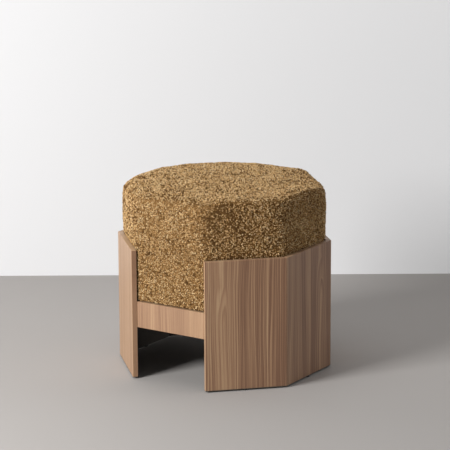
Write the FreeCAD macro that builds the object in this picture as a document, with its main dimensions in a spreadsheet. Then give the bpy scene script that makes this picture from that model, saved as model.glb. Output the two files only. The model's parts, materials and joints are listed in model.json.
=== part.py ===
import FreeCAD, Part
import math
import os
import Sketcher

# Octagonal pouf: two wooden shells of three panels each, joined by two aprons and a deck,
# round a tall upholstered block that drops in from above and lifts out again.
# Millimetres, +Z up, origin on the floor under the middle. The open facets face -Y and +Y.

Vector = FreeCAD.Vector
UP = Vector(0, 0, 1)

# Driving dimensions
SIZES = {
    # Case: panels, aprons and the glides that they stand on
    "across_flats": 460,
    "panel_thickness": 12,
    "panel_height": 297,
    "apron_thickness": 12,
    "apron_height": 60,
    "apron_bottom": 121,
    "arris": 0.8,
    "glide_height": 3,
    "glide_diameter": 11,
    "glide_rim": 0.8,
    "nail_diameter": 2,
    "nail_head_diameter": 6,
    "nail_head_thickness": 0.8,
    "nail_head_cover": 1.2,
    "nail_length": 15,
    "nail_point": 3,
    # Case: splines in the mitres
    "spline_slot": 3,
    "spline_depth": 5,
    "spline_clearance": 0.1,
    "spline_stop": 20,
    # Case: deck, cleats and corner blocks
    "deck_thickness": 12,
    "deck_gap": 0.5,
    "cleat_width": 18,
    "cleat_depth": 18,
    "cleat_length": 140,
    "cleat_gap": 4,
    "block_leg": 32,
    "block_width": 18,
    "block_height": 44,
    # Countersunk wood screws, in case and seat alike
    "screw_length": 25,
    "screw_diameter": 4,
    "screw_head_diameter": 8,
    "screw_point": 5,
    "screw_clearance": 0.05,
    "recess_length": 4.4,
    "recess_width": 0.9,
    "recess_depth": 1.4,
    "cleat_screw_inset": 18,
    "block_screw_inset": 8,
    "block_screw_rise": 11,
    "seat_screw_reach": 45,
    # Seat: outer form of the upholstered block
    "seat_gap": 3.5,
    "seat_rest_gap": 0.3,
    "seat_edge_height": 433,
    "seat_crown": 7,
    "seat_edge_rounding": 30,
    "seat_corner_radius": 36,
    "seat_swell": 4.5,
    "seat_tuck": 5,
    # Seat: layers from the outside in
    "cover_thickness": 3,
    "cover_hem": 35,
    "wadding_thickness": 5,
    "side_foam_thickness": 20,
    "top_foam_thickness": 50,
    "dust_cover_thickness": 1,
    "dust_cover_inset": 12,
    # Seat: carcass and staples
    "base_board_thickness": 15,
    "side_board_thickness": 12,
    "top_board_thickness": 12,
    "staple_crown": 10,
    "staple_leg": 8,
    "staple_width": 1.2,
    "staple_thickness": 0.6,
    "staple_inset": 6,
    "staple_spacing": 50,
    # Overrun of every cut past the face that it opens
    "cut_overrun": 5,
}

# Where the splines lie between a panel's inner and outer face
SPLINE_PLACE_SHARE = 0.4
# Side of the seat above the case: shares of its height, and of the swell there
SWELL_SHARES = [(0.0, 0.0), (0.25, 0.55), (0.5, 0.9), (0.75, 1.0), (1.0, 0.9)]
# Stages of the seat's rounded upper edge, as shares of a quarter turn
EDGE_SHARES = [0.2, 0.4, 0.6, 0.8, 0.95]
# Rings of the seat's crown, as shares of the flat top's inradius, the last one closed flat
CROWN_SHARES = [0.85, 0.6, 0.35, 0.1]
# A plan corner is never rounder than this share of the ring's inradius
CORNER_SHARE = 0.5
# Staples per facet, as shares of the staple spacing from the facet's middle
STAPLE_SHARES = [-1, 0, 1]
# Screws in a pair stand on both sides of the middle
PAIR = (-1, 1)

FACETS = 8
TURN = 360 / FACETS
FACET_NAMES = ["front", "front_right", "right", "back_right", "back", "back_left", "left", "front_left"]
OPEN_FACETS = (0, 4)
# Closed facets that are mitred to the next one round
MITRED_FACETS = (1, 2, 5, 6)
# Closed facets beside an open one, with the side of their open end: -1 for local -X, 1 for +X
OPEN_SIDES = {1: -1, 3: 1, 5: -1, 7: 1}

doc = FreeCAD.newDocument("octagonal_pouf")
sheet = doc.addObject("Spreadsheet::Sheet", "Sizes")
for row, (alias, number) in enumerate(SIZES.items(), start=1):
    sheet.set(f"A{row}", alias)
    sheet.set(f"B{row}", str(number))
    sheet.setAlias(f"B{row}", alias)
doc.recompute()

# Expressions that several pieces share
HALF_TAN = f"tan({TURN / 2} deg)"
HALF_SIN = f"sin({TURN / 2} deg)"
HALF_COS = f"cos({TURN / 2} deg)"
TURN_TAN = f"tan({TURN} deg)"
TURN_SIN = f"sin({TURN} deg)"
TURN_COS = f"cos({TURN} deg)"
OUTER = "(Sizes.across_flats / 2)"
INNER = f"({OUTER} - Sizes.panel_thickness)"
PANEL_MIDDLE = f"({OUTER} - Sizes.panel_thickness / 2)"
APRON_BACK = f"({INNER} - Sizes.apron_thickness)"
# Half length of the apron's back, and where that corner lies along the panel's inner face
APRON_CORNER = f"({INNER} * {HALF_TAN} + Sizes.apron_thickness * {TURN_TAN})"
APRON_ALONG = f"(Sizes.apron_thickness / {TURN_SIN})"
CASE_TOP = "(Sizes.glide_height + Sizes.panel_height)"
DECK_TOP = "(Sizes.apron_bottom + Sizes.apron_height)"
DECK_BOTTOM = f"({DECK_TOP} - Sizes.deck_thickness)"
SPLINE_RADIUS = f"(({INNER} + Sizes.panel_thickness * {SPLINE_PLACE_SHARE}) / {HALF_COS})"
CLEAT_OPEN_END = f"({INNER} * {HALF_TAN} - {APRON_ALONG} - Sizes.block_leg - Sizes.cleat_gap)"
APRON_CLEAT_END = f"({APRON_CORNER} - Sizes.block_leg - Sizes.cleat_gap)"
SEAT_RADIUS = f"({INNER} - Sizes.seat_gap)"
DUST_BOTTOM = f"({DECK_TOP} + Sizes.seat_rest_gap)"
HEM_BOTTOM = f"({DUST_BOTTOM} + Sizes.dust_cover_thickness)"
BASE_BOTTOM = f"({HEM_BOTTOM} + Sizes.cover_thickness)"
BASE_TOP = f"({BASE_BOTTOM} + Sizes.base_board_thickness)"
FOAM_INSET = "(Sizes.cover_thickness + Sizes.wadding_thickness)"
CARCASS_TOP = f"(Sizes.seat_edge_height - {FOAM_INSET} - Sizes.top_foam_thickness)"
SIDE_BOARD_TOP = f"({CARCASS_TOP} - Sizes.top_board_thickness)"
CARCASS_RADIUS = f"({SEAT_RADIUS} - {FOAM_INSET} - Sizes.side_foam_thickness)"
SIDE_BOARD_MIDDLE = f"({CARCASS_RADIUS} - Sizes.side_board_thickness / 2)"
DUST_RADIUS = f"({SEAT_RADIUS} - Sizes.dust_cover_inset)"
STAPLE_RADIUS = f"({DUST_RADIUS} - Sizes.staple_inset)"

pieces = []


def value(expression):
    """A shared expression, worked out from the sheet."""
    return float(sheet.evalExpression(expression))


def size(alias):
    """One driving dimension."""
    return value(f"Sizes.{alias}")


def keep(item, label):
    """Name a finished sub-part and list it for writing."""
    item.Label = label
    pieces.append(item)
    return item


def outline(body, name, plane, corners, lift=None):
    """A closed sketch of straight lines whose corners follow expressions."""
    sketch = body.newObject("Sketcher::SketchObject", name)
    support = [item for item in body.Origin.OriginFeatures if item.Role == plane][0]
    sketch.AttachmentSupport = [(support, "")]
    sketch.MapMode = "FlatFace"
    if lift:
        sketch.setExpression("AttachmentOffset.Base.z", lift)
    points = [Vector(value(across), value(along), 0) for across, along in corners]
    count = len(points)
    for index in range(count):
        sketch.addGeometry(Part.LineSegment(points[index], points[(index + 1) % count]))
    for index in range(count):
        sketch.addConstraint(Sketcher.Constraint("Coincident", index, 2, (index + 1) % count, 1))
    for index, (across, along) in enumerate(corners):
        pin_corner(sketch, index, "DistanceX", -2, across, points[index].x)
        pin_corner(sketch, index, "DistanceY", -1, along, points[index].y)
    return sketch


def pin_corner(sketch, index, kind, axis, expression, number):
    """Hold one coordinate of a corner, on its axis where it is zero."""
    if expression == "0":
        sketch.addConstraint(Sketcher.Constraint("PointOnObject", index, 1, axis))
        return
    place = sketch.addConstraint(Sketcher.Constraint(kind, -1, 1, index, 1, number))
    sketch.setExpression(f"Constraints[{place}]", expression)


def prism(name, corners, bottom, height, turn=0, arris=False):
    """An upright board or block: a plan outline padded upwards, turned to its facet."""
    body = doc.addObject("PartDesign::Body", name)
    pad = body.newObject("PartDesign::Pad", f"{name}_pad")
    pad.Profile = outline(body, f"{name}_plan", "XY_Plane", corners)
    pad.setExpression("Length", height)
    body.Tip = pad
    if arris:
        bevel = body.newObject("PartDesign::Chamfer", f"{name}_arris")
        bevel.Base = (pad, [f"Edge{index + 1}" for index in range(3 * len(corners))])
        bevel.setExpression("Size", "Sizes.arris")
        body.Tip = bevel
    body.Placement = FreeCAD.Placement(Vector(), FreeCAD.Rotation(UP, turn))
    body.setExpression("Placement.Base.z", bottom)
    return body


def octagon(radius):
    """Corners of a regular octagon of that inradius, with facets square to X and Y."""
    side = f"{radius} * {HALF_TAN}"
    return [
        (f"-{side}", f"-{radius}"),
        (side, f"-{radius}"),
        (radius, f"-{side}"),
        (radius, side),
        (side, radius),
        (f"-{side}", radius),
        (f"-{radius}", side),
        (f"-{radius}", f"-{side}"),
    ]


def loose(name, shape):
    """A sub-part or tool whose shape is worked out from the sheet in code."""
    item = doc.addObject("Part::Feature", name)
    item.Shape = shape
    return item


def cut(name, base, tool):
    """What is left of the base after the tool is taken away."""
    item = doc.addObject("Part::Cut", name)
    item.Base = base
    item.Tool = tool
    return item


def common(name, base, tool):
    """What base and tool share."""
    item = doc.addObject("Part::Common", name)
    item.Base = base
    item.Tool = tool
    return item


def slab(name, bottom, top):
    """A level slice wider than the pouf, for parting the upholstery by height."""
    box = doc.addObject("Part::Box", name)
    box.setExpression("Length", "Sizes.across_flats")
    box.setExpression("Width", "Sizes.across_flats")
    box.setExpression("Height", f"{top} - {bottom}")
    box.setExpression("Placement.Base.x", "-Sizes.across_flats / 2")
    box.setExpression("Placement.Base.y", "-Sizes.across_flats / 2")
    box.setExpression("Placement.Base.z", bottom)
    return box


def facet_point(facet, along, out, level):
    """A point in a facet's own frame: along it to the right, out from the middle, and up."""
    return FreeCAD.Rotation(UP, facet * TURN).multVec(Vector(along, -out, level))


def facet_way(facet, outwards=1):
    """The direction that a facet looks in, or its opposite."""
    return FreeCAD.Rotation(UP, facet * TURN).multVec(Vector(0, -outwards, 0))


def turned(points):
    """A solid turned about Z from a half profile of (radius, height)."""
    corners = [Vector(radius, 0, level) for radius, level in points]
    wire = Part.makePolygon(corners + corners[:1])
    return Part.Face(wire).revolve(Vector(), UP, 360)


# Wood screws


def screw_profile(grow):
    """Half profile of a countersunk screw that points down from its head's face at zero."""
    shank = size("screw_diameter") / 2 + grow
    head = size("screw_head_diameter") / 2 + grow
    tip = -size("screw_length") - grow
    return [(0, 0), (head, 0), (shank, shank - head), (shank, tip + size("screw_point")), (0, tip)]


def cross_recess():
    """The cross in a screw's head that the driver turns."""
    reach = size("recess_length")
    width = size("recess_width")
    depth = size("recess_depth")
    over = size("cut_overrun")
    bars = []
    for long, wide in ((reach, width), (width, reach)):
        bars.append(Part.makeBox(long, wide, depth + over, Vector(-long / 2, -wide / 2, -depth)))
    return bars[0].fuse(bars[1])


def seated(shape, places):
    """Copies of a shape that points down, each at a place and along a direction."""
    copies = []
    for place, direction in places:
        copy = shape.copy()
        copy.Placement = FreeCAD.Placement(place, FreeCAD.Rotation(-UP, direction))
        copies.append(copy)
    return Part.makeCompound(copies)


def screws(label, places):
    """A group of driven screws."""
    shape = turned(screw_profile(0)).cut(cross_recess())
    return keep(loose(label, seated(shape, places)), label)


def screw_holes(name, places):
    """Clearance for a group of screws, open above each head."""
    shape = turned(screw_profile(size("screw_clearance")))
    radius = size("screw_head_diameter") / 2 + size("screw_clearance")
    shape = shape.fuse(Part.makeCylinder(radius, size("cut_overrun")))
    return loose(name, seated(shape, places))


def cleat_screw_places():
    """Two screws through each cleat, level, into the panel or apron behind it."""
    level = value(DECK_BOTTOM) - size("cleat_depth") / 2
    places = []
    for facet in range(FACETS):
        start, end, back = cleat_span(facet)
        inset = size("cleat_screw_inset")
        for along in (value(start) + inset, value(end) - inset):
            head = facet_point(facet, along, value(back) - size("cleat_width"), level)
            places.append((head, facet_way(facet)))
    return places


def block_screw_places():
    """Two screws through each corner block into the apron, and two into the panel."""
    places = []
    reach = size("block_leg") - size("block_screw_inset")
    middle = value(DECK_BOTTOM) - size("block_height") / 2
    for facet in OPEN_FACETS:
        for side in PAIR:
            along = side * (value(APRON_CORNER) - reach)
            panel = (facet + side) % FACETS
            panel_along = -side * (value(INNER) * value(HALF_TAN) - value(APRON_ALONG) - reach)
            for pair in PAIR:
                level = middle + pair * size("block_screw_rise")
                head = facet_point(facet, along, value(APRON_BACK) - size("block_width"), level)
                places.append((head, facet_way(facet)))
                head = facet_point(panel, panel_along, value(INNER) - size("block_width"), level)
                places.append((head, facet_way(panel)))
    return places


def deck_screw_places():
    """One screw down through the deck into the middle of each cleat."""
    places = []
    for facet in range(FACETS):
        start, end, back = cleat_span(facet)
        along = (value(start) + value(end)) / 2
        out = value(back) - size("cleat_width") / 2
        places.append((facet_point(facet, along, out, value(DECK_TOP)), -UP))
    return places


def seat_screw_places():
    """Two screws in each side board from below and two from above."""
    places = []
    for facet in range(FACETS):
        for pair in PAIR:
            along = pair * size("seat_screw_reach")
            out = value(SIDE_BOARD_MIDDLE)
            places.append((facet_point(facet, along, out, value(BASE_BOTTOM)), UP))
            places.append((facet_point(facet, along, out, value(CARCASS_TOP)), -UP))
    return places


# Glides and their nails


def nail_profile():
    """Half profile of a glide's nail, from its buried head up to its point."""
    head = size("nail_head_diameter") / 2
    shank = size("nail_diameter") / 2
    low = size("nail_head_cover")
    shoulder = low + size("nail_head_thickness")
    tip = low + size("nail_length")
    taper = tip - size("nail_point")
    return [(0, low), (head, low), (head, shoulder), (shank, shoulder), (shank, taper), (0, tip)]


def glide_nails():
    """Six nails, one up into the middle of each panel's bottom edge."""
    shape = turned(nail_profile())
    copies = []
    for facet in range(FACETS):
        if facet in OPEN_FACETS:
            continue
        copy = shape.copy()
        copy.translate(facet_point(facet, 0, value(PANEL_MIDDLE), 0))
        copies.append(copy)
    return Part.makeCompound(copies)


def glide(facet):
    """A round nylon pad with a bevelled rim, moulded over its nail's head."""
    name = f"{FACET_NAMES[facet]}_glide_pad"
    radius = "Sizes.glide_diameter / 2"
    profile = [
        ("0", "0"),
        (f"{radius} - Sizes.glide_rim", "0"),
        (radius, "Sizes.glide_rim"),
        (radius, "Sizes.glide_height"),
        ("0", "Sizes.glide_height"),
    ]
    body = doc.addObject("PartDesign::Body", name)
    sketch = outline(body, f"{name}_profile", "XZ_Plane", profile)
    revolution = body.newObject("PartDesign::Revolution", f"{name}_turned")
    revolution.Profile = sketch
    revolution.ReferenceAxis = (sketch, ["V_Axis"])
    revolution.Angle = 360
    body.Tip = revolution
    body.setExpression("Placement.Base.x", f"{PANEL_MIDDLE} * sin({facet * TURN} deg)")
    body.setExpression("Placement.Base.y", f"-{PANEL_MIDDLE} * cos({facet * TURN} deg)")
    return cut(f"{FACET_NAMES[facet]}_glide", body, nails)


# Case


def panel(facet):
    """A veneered board, mitred to its neighbours and cut square at an open facet."""
    name = f"{FACET_NAMES[facet]}_panel"
    open_side = OPEN_SIDES.get(facet, 0)
    left = INNER if open_side < 0 else OUTER
    right = INNER if open_side > 0 else OUTER
    corners = [
        (f"-{left} * {HALF_TAN}", f"-{OUTER}"),
        (f"{right} * {HALF_TAN}", f"-{OUTER}"),
        (f"{INNER} * {HALF_TAN}", f"-{INNER}"),
        (f"-{INNER} * {HALF_TAN}", f"-{INNER}"),
    ]
    height = "Sizes.panel_height"
    body = prism(f"{name}_board", corners, "Sizes.glide_height", height, facet * TURN, arris=True)
    for side in PAIR:
        if side != open_side:
            spline_slot(body, side)
    return cut(f"{name}_drilled", cut(f"{name}_nailed", body, nails), case_holes)


def spline_slot(body, side):
    """A stopped slot, square to the mitre at one end of a panel."""
    name = f"{body.Name}_slot_{'left' if side < 0 else 'right'}"
    corners = []
    for edge, depth in ((-1, 1), (1, 1), (1, -1), (-1, -1)):
        radius = f"({SPLINE_RADIUS} + {edge} * Sizes.spline_slot / 2)"
        reach = "Sizes.spline_depth" if depth > 0 else "-Sizes.cut_overrun"
        across = f"{side} * ({radius} * {HALF_SIN} - ({reach}) * {HALF_COS})"
        corners.append((across, f"-({radius} * {HALF_COS} + ({reach}) * {HALF_SIN})"))
    sketch = outline(body, f"{name}_plan", "XY_Plane", corners, "Sizes.spline_stop")
    pocket = body.newObject("PartDesign::Pocket", name)
    pocket.Profile = sketch
    pocket.Reversed = True
    pocket.setExpression("Length", "Sizes.panel_height - 2 * Sizes.spline_stop")
    body.Tip = pocket


def spline(facet):
    """A loose tongue in the mitre between a facet and the next one."""
    half = "(Sizes.spline_depth - Sizes.spline_clearance)"
    thick = "(Sizes.spline_slot / 2 - Sizes.spline_clearance)"
    corners = [
        (f"-{half}", f"-({SPLINE_RADIUS} + {thick})"),
        (half, f"-({SPLINE_RADIUS} + {thick})"),
        (half, f"-({SPLINE_RADIUS} - {thick})"),
        (f"-{half}", f"-({SPLINE_RADIUS} - {thick})"),
    ]
    stop = "(Sizes.spline_stop + Sizes.spline_clearance)"
    bottom = f"Sizes.glide_height + {stop}"
    name = f"{FACET_NAMES[facet]}_spline"
    return prism(name, corners, bottom, f"Sizes.panel_height - 2 * {stop}", (facet + 0.5) * TURN)


def apron(facet):
    """A short rail across an open facet, its ends bevelled against the panels' inner faces."""
    corners = [
        (f"-{INNER} * {HALF_TAN}", f"-{INNER}"),
        (f"{INNER} * {HALF_TAN}", f"-{INNER}"),
        (APRON_CORNER, f"-{APRON_BACK}"),
        (f"-{APRON_CORNER}", f"-{APRON_BACK}"),
    ]
    name = f"{FACET_NAMES[facet]}_apron"
    height = "Sizes.apron_height"
    body = prism(f"{name}_rail", corners, "Sizes.apron_bottom", height, facet * TURN, arris=True)
    return cut(f"{name}_drilled", body, case_holes)


def cleat_span(facet):
    """Where a facet's cleat starts and ends along it, and the face that it is fixed to."""
    if facet in OPEN_FACETS:
        return f"-{APRON_CLEAT_END}", APRON_CLEAT_END, APRON_BACK
    open_side = OPEN_SIDES.get(facet, 0)
    start = CLEAT_OPEN_END if open_side < 0 else "Sizes.cleat_length / 2"
    end = CLEAT_OPEN_END if open_side > 0 else "Sizes.cleat_length / 2"
    return f"-{start}", end, INNER


def cleat(facet):
    """A square strip under the deck's edge."""
    start, end, back = cleat_span(facet)
    front = f"-({back} - Sizes.cleat_width)"
    corners = [(start, f"-{back}"), (end, f"-{back}"), (end, front), (start, front)]
    name = f"{FACET_NAMES[facet]}_cleat"
    bottom = f"{DECK_BOTTOM} - Sizes.cleat_depth"
    body = prism(f"{name}_strip", corners, bottom, "Sizes.cleat_depth", facet * TURN, arris=True)
    return cut(f"{name}_drilled", body, case_holes)


def corner_block(facet, side):
    """A glue block in the corner between an apron's back and a panel's inner face."""
    leg = "Sizes.block_leg"
    width = "Sizes.block_width"
    across = [
        APRON_CORNER,
        f"({APRON_CORNER} + {leg} * {TURN_COS})",
        f"({APRON_CORNER} + {leg} * {TURN_COS} - {width} * {TURN_SIN})",
        f"({APRON_CORNER} - {leg})",
        f"({APRON_CORNER} - {leg})",
    ]
    back = [
        f"-{APRON_BACK}",
        f"-{APRON_BACK} + {leg} * {TURN_SIN}",
        f"-{APRON_BACK} + {leg} * {TURN_SIN} + {width} * {TURN_COS}",
        f"-{APRON_BACK} + {width}",
        f"-{APRON_BACK}",
    ]
    corners = [(f"{side} * {place}", depth) for place, depth in zip(across, back)]
    name = f"{FACET_NAMES[facet]}_{'left' if side < 0 else 'right'}_block"
    bottom = f"{DECK_BOTTOM} - Sizes.block_height"
    body = prism(f"{name}_wood", corners, bottom, "Sizes.block_height", facet * TURN)
    return cut(f"{name}_drilled", body, case_holes), name


def deck():
    """The board that ties the case together inside panels and aprons and carries the seat."""
    side = f"({INNER} - Sizes.deck_gap)"
    end = f"({APRON_BACK} - Sizes.deck_gap)"
    corner = f"(({side} - {end} * {TURN_COS}) / {TURN_SIN})"
    corners = [
        (f"-{corner}", f"-{end}"),
        (corner, f"-{end}"),
        (side, f"-{side} * {HALF_TAN}"),
        (side, f"{side} * {HALF_TAN}"),
        (corner, end),
        (f"-{corner}", end),
        (f"-{side}", f"{side} * {HALF_TAN}"),
        (f"-{side}", f"-{side} * {HALF_TAN}"),
    ]
    body = prism("deck_board", corners, DECK_BOTTOM, "Sizes.deck_thickness")
    return cut("deck_drilled", body, case_holes)


# Seat


def ring(radius, corner, level):
    """A level octagon with rounded corners: eight lines and eight arcs."""
    corner = min(corner, radius * CORNER_SHARE)
    half = math.radians(TURN / 2)
    reach = (radius - corner) * math.tan(half)
    middle = (radius - corner) / math.cos(half) + corner
    edges = []
    for facet in range(FACETS):
        start = facet_point(facet, -reach, radius, level)
        end = facet_point(facet, reach, radius, level)
        bend = facet_point(facet + 0.5, 0, middle, level)
        following = facet_point(facet + 1, -reach, radius, level)
        edges.append(Part.LineSegment(start, end).toShape())
        edges.append(Part.Arc(end, bend, following).toShape())
    return Part.Wire(edges)


def soft_block(name, inset, floor):
    """The upholstered form, drawn in below, swelling above the case, rounded and crowned."""
    base = value(SEAT_RADIUS) - inset
    corner = size("seat_corner_radius") - inset
    rounding = size("seat_edge_rounding") - inset
    shoulder = size("seat_edge_height") - size("seat_edge_rounding")
    case_top = value(CASE_TOP)
    tuck = size("seat_tuck")
    rings = [(base - tuck, floor), (base, floor + tuck)]
    for height_share, swell_share in SWELL_SHARES:
        level = case_top + height_share * (shoulder - case_top)
        rings.append((base + swell_share * size("seat_swell"), level))
    widest = rings[-1][0]
    for share in EDGE_SHARES:
        angle = share * math.pi / 2
        rings.append((widest - rounding * (1 - math.cos(angle)), shoulder + rounding * math.sin(angle)))
    flat = rings[-1][0]
    edge = rings[-1][1]
    for share in CROWN_SHARES:
        rings.append((flat * share, edge + size("seat_crown") * (1 - share**2)))
    wires = [ring(radius, corner, level) for radius, level in rings]
    return loose(name, Part.makeLoft(wires, True, True))


def staples():
    """Wire staples in the dust cover's edge, crowns pressed into the cloth, legs in the board."""
    crown = size("staple_crown")
    width = size("staple_width")
    thick = size("staple_thickness")
    leg = size("staple_leg")
    bar = Part.makeBox(crown, width, thick, Vector(-crown / 2, -width / 2, 0))
    shape = bar
    for end in (-crown / 2, crown / 2 - thick):
        shape = shape.fuse(Part.makeBox(thick, width, leg, Vector(end, -width / 2, 0)))
    shape = shape.removeSplitter()
    copies = []
    for facet in range(FACETS):
        for share in STAPLE_SHARES:
            copy = shape.copy()
            along = share * size("staple_spacing")
            place = facet_point(facet, along, value(STAPLE_RADIUS), value(DUST_BOTTOM))
            copy.Placement = FreeCAD.Placement(place, FreeCAD.Rotation(UP, facet * TURN))
            copies.append(copy)
    return Part.makeCompound(copies)


def side_board(facet):
    """One mitred wall of the seat's carcass."""
    inside = f"({CARCASS_RADIUS} - Sizes.side_board_thickness)"
    corners = [
        (f"-{CARCASS_RADIUS} * {HALF_TAN}", f"-{CARCASS_RADIUS}"),
        (f"{CARCASS_RADIUS} * {HALF_TAN}", f"-{CARCASS_RADIUS}"),
        (f"{inside} * {HALF_TAN}", f"-{inside}"),
        (f"-{inside} * {HALF_TAN}", f"-{inside}"),
    ]
    name = f"{FACET_NAMES[facet]}_seat_board"
    body = prism(f"{name}_plain", corners, BASE_TOP, f"{SIDE_BOARD_TOP} - {BASE_TOP}", facet * TURN)
    return cut(f"{name}_drilled", body, seat_holes)


# Fasteners of the case, and the holes that they need
case_places = cleat_screw_places() + block_screw_places() + deck_screw_places()
case_holes = screw_holes("case_holes", case_places)
screws("cleat_screws", cleat_screw_places())
screws("block_screws", block_screw_places())
screws("deck_screws", deck_screw_places())
nails = keep(loose("glide_nails", glide_nails()), "glide_nails")

# Case pieces
for facet in range(FACETS):
    if facet in OPEN_FACETS:
        keep(apron(facet), f"{FACET_NAMES[facet]}_apron")
        for side in PAIR:
            block, block_name = corner_block(facet, side)
            keep(block, block_name)
    else:
        keep(panel(facet), f"{FACET_NAMES[facet]}_panel")
        keep(glide(facet), f"{FACET_NAMES[facet]}_glide")
    keep(cleat(facet), f"{FACET_NAMES[facet]}_cleat")
for facet in MITRED_FACETS:
    keep(spline(facet), f"{FACET_NAMES[facet]}_to_{FACET_NAMES[facet + 1]}_spline")
keep(deck(), "deck")

# Fasteners of the seat, and the holes that they need
seat_holes = screw_holes("seat_holes", seat_screw_places())
screws("seat_screws", seat_screw_places())
staple_group = keep(loose("staples", staples()), "staples")

# Carcass of the seat
for facet in range(FACETS):
    keep(side_board(facet), f"{FACET_NAMES[facet]}_seat_board")
top_board = prism("top_board_plain", octagon(CARCASS_RADIUS), SIDE_BOARD_TOP, "Sizes.top_board_thickness")
keep(cut("top_board_drilled", top_board, seat_holes), "seat_top_board")
foam_form = soft_block("foam_form", value(FOAM_INSET), value(BASE_BOTTOM))
base_board = common("base_board_plain", foam_form, slab("base_slab", BASE_BOTTOM, BASE_TOP))
base_board = cut("base_board_drilled", base_board, seat_holes)
keep(cut("base_board_stapled", base_board, staple_group), "seat_base_board")

# Upholstery from the inside out
carcass_height = f"{CARCASS_TOP} - {BASE_TOP}"
carcass_form = prism("carcass_form", octagon(CARCASS_RADIUS), BASE_TOP, carcass_height)
side_foam = common("side_foam_full", foam_form, slab("side_slab", BASE_TOP, CARCASS_TOP))
keep(cut("side_foam_wrap", side_foam, carcass_form), "side_foam")
crown_level = "(Sizes.seat_edge_height + Sizes.seat_crown)"
keep(common("top_foam_pad", foam_form, slab("top_slab", CARCASS_TOP, crown_level)), "top_foam")
wadding_form = soft_block("wadding_form", size("cover_thickness"), value(BASE_BOTTOM))
keep(cut("wadding_layer", wadding_form, foam_form), "wadding")
cover_form = soft_block("cover_form", 0, value(HEM_BOTTOM))
hem_opening = octagon(f"({SEAT_RADIUS} - Sizes.cover_hem)")
hem_cut = prism("hem_opening", hem_opening, f"{HEM_BOTTOM} - Sizes.cut_overrun", "2 * Sizes.cut_overrun")
cover = cut("cover_hollow", cover_form, wadding_form)
cover = cut("cover_hemmed", cover, hem_cut)
keep(cut("cover_stapled", cover, staple_group), "seat_cover")
dust_cover = prism("dust_cover_plain", octagon(DUST_RADIUS), DUST_BOTTOM, "Sizes.dust_cover_thickness")
keep(cut("dust_cover_stapled", dust_cover, staple_group), "dust_cover")

doc.recompute()

# Nothing is written unless every object is sound
for item in doc.Objects:
    if "Invalid" in item.State or "Error" in item.State:
        raise RuntimeError(f"{item.Name} failed: {item.State}")
for piece in pieces:
    if piece.Shape.isNull() or not piece.Shape.isValid() or not piece.Shape.Solids:
        raise RuntimeError(f"{piece.Label} has no sound shape")

os.makedirs("parts", exist_ok=True)
for piece in pieces:
    piece.Shape.exportStep(f"parts/{piece.Label}.step")
    print(piece.Label, len(piece.Shape.Solids), round(piece.Shape.Volume))
print(len(pieces), "nodes")
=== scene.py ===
import json
import math

import bpy
from mathutils import Euler, Matrix, Vector

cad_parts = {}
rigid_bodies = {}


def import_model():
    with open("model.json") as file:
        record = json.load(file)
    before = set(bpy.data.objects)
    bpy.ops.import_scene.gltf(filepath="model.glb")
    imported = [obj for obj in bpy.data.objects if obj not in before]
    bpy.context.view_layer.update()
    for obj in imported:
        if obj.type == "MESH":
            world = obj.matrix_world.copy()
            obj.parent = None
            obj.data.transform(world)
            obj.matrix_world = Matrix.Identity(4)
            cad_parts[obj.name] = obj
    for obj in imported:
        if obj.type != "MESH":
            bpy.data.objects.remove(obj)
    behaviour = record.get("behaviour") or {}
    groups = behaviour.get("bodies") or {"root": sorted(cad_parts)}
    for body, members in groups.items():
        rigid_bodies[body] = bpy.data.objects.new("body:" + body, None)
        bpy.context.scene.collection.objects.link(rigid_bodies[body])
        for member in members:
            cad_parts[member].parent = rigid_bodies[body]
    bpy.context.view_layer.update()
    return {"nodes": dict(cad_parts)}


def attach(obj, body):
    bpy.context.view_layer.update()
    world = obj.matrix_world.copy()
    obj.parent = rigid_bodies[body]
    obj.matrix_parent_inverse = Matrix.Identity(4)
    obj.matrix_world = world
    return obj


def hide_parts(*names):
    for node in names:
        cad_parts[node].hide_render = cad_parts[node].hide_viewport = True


# Octagonal pouf: two veneered wooden shells round a tall block in curly looped cloth.
# Metres, +Z up, the open facets face -Y and +Y. Facets count round from the front one.

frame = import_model()
nodes = frame["nodes"]

# Studio: a pale floor and wall, one large soft lamp in front on the left, weak ones above
# and at the sides, and the camera. None of it belongs to the pouf.
CAMERA_PLACE = (2.8413, -4.3088, 1.5814)
CAMERA_SENSOR = 36
CAMERA_LENS = 185.52
CAMERA_TURN = math.radians(33.367)
CAMERA_DIP = math.radians(13.679)
CAMERA_ROLL = math.radians(-0.290)
STAGE_SIZE = 16
FLOOR_COLOUR = (0.434, 0.411, 0.393, 1)
WALL_COLOUR = (0.58, 0.58, 0.586, 1)
WALL_GLOW = (1, 1, 1.005, 1)
WALL_GLOW_STRENGTH = 0.225
WALL_DISTANCE = 0.779
WORLD_STRENGTH = 0.175
# The front lamp looks at a spot a little above the floor, from this turn, rise and distance
LAMP_TURN = math.radians(-18.5)
LAMP_RISE = math.radians(23)
LAMP_DISTANCE = 3.3
LAMP_AIM = 0.2
SIDE_LAMP_DIP = 0.25
LEFT_LAMP_TURN = math.radians(-102)
RIGHT_LAMP_TURN = math.radians(128.5)


def add(tree, kind, inputs=None, **settings):
    """Adds a node with its settings. An input takes a value or another node's output."""
    made = tree.nodes.new(kind)
    for name, value in settings.items():
        setattr(made, name, value)
    for name, value in (inputs or {}).items():
        if isinstance(value, bpy.types.NodeSocket):
            tree.links.new(value, made.inputs[name])
        else:
            made.inputs[name].default_value = value
    return made


def calc(tree, operation, first, second=0.0, third=0.0):
    """One step of arithmetic on shader values."""
    return add(tree, "ShaderNodeMath", {0: first, 1: second, 2: third}, operation=operation).outputs[0]


def new_finish(name):
    """A new material, with its node tree and its shader."""
    finish = bpy.data.materials.new(name)
    finish.use_nodes = True
    return finish, finish.node_tree, finish.node_tree.nodes["Principled BSDF"]


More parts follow.
